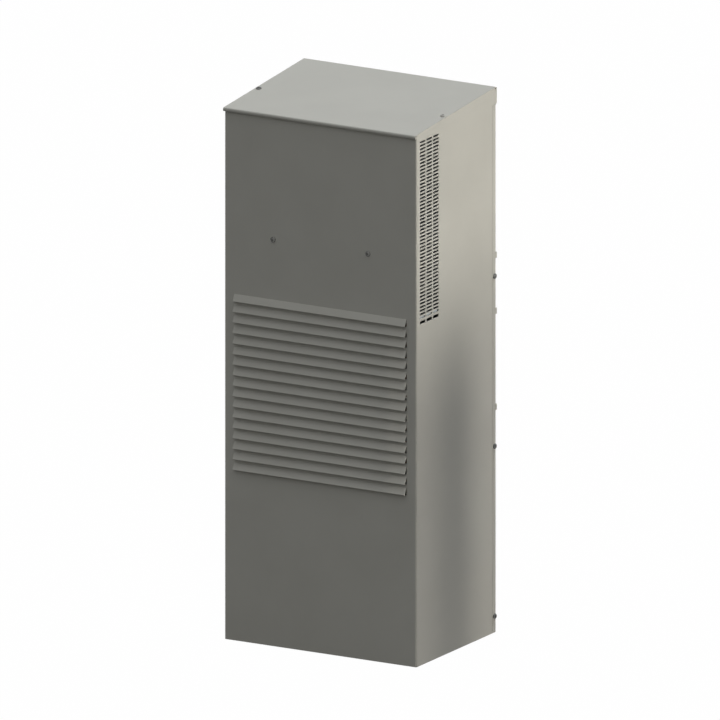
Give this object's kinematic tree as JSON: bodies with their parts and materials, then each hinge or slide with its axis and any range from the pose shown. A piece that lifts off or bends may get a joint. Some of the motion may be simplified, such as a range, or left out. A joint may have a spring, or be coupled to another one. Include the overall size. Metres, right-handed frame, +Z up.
{
  "type": "enclosure cooling unit",
  "caption": "Narrow closed-loop cooler with a louvred front, slotted sides, sloping roof and two fans, for the wall or door of a cabinet.",
  "frame": {"origin": "centre of the base's underside, midway between the front panel and the mounting face", "axes": "+X to the right seen from the front, +Y from the front panel to the mounting face, +Z up"},
  "size_m": [0.3094, 0.2287, 0.7769],
  "materials": {
    "paint": "satin",
    "zinc": "satin",
    "bright_steel": "satin",
    "alloy": "satin",
    "copper": "satin",
    "black_paint": "satin",
    "black_plastic": "matte",
    "rubber": "matte",
    "foam": "matte",
    "board": "satin",
    "brass": "satin",
    "white_plastic": "matte"
  },
  "bodies": {
    "casing": {"cover": "paint", "roof_panel": "paint", "rear_panel": "paint", "base_pan": "zinc", "rear_gasket": "rubber", "mounting_inserts": "zinc", "side_screws": "zinc", "front_screws": "bright_steel", "roof_screws": "zinc", "partition_tub": "zinc", "tub_insulation": "foam", "side_cheeks": "zinc", "fan_deck": "zinc", "condenser_inlet_ring": "zinc", "condenser_fan_bracket": "zinc", "bracket_nuts": "zinc", "condenser_stator": "alloy", "condenser_bearings": "bright_steel", "filter_frame": "alloy", "filter_pad": "foam", "condenser_fins": "alloy", "condenser_tubes": "copper", "condenser_end_plates": "zinc", "compressor_shell": "black_paint", "compressor_foot": "black_paint", "compressor_grommets": "rubber", "compressor_bolts": "zinc", "terminal_cover": "black_plastic", "suction_accumulator": "black_paint", "accumulator_strap": "zinc", "discharge_pipe": "copper", "liquid_pipe": "copper", "filter_drier": "copper", "capillary_tube": "copper", "suction_pipe": "copper", "evaporator_fins": "alloy", "evaporator_tubes": "copper", "evaporator_end_plates": "zinc", "coil_baffle": "zinc", "drain_pan": "alloy", "drain_tube": "rubber", "evaporator_inlet_ring": "zinc", "inlet_guard": "zinc", "evaporator_fan_bracket": "zinc", "evaporator_stator": "alloy", "evaporator_bearings": "bright_steel", "control_box": "zinc", "control_box_lid": "zinc", "control_board": "board", "board_standoffs": "brass", "run_capacitor": "alloy", "contactor": "white_plastic", "power_socket": "black_plastic", "wiring": "rubber"},
    "condenser_fan": {"condenser_impeller": "black_plastic", "condenser_rotor": "black_plastic", "condenser_shaft": "bright_steel"},
    "evaporator_fan": {"evaporator_impeller": "black_plastic", "evaporator_rotor": "black_plastic", "evaporator_shaft": "bright_steel"}
  },
  "joints": [
    {"name": "condenser_fan_spin", "type": "hinge", "parent": "casing", "child": "condenser_fan", "pos_m": [0, -0.09, 0.6196], "axis": [0, 1, 0], "continuous": true},
    {"name": "evaporator_fan_spin", "type": "hinge", "parent": "casing", "child": "evaporator_fan", "pos_m": [0, 0.06, 0.6462], "axis": [0, 1, 0], "continuous": true}
  ]
}
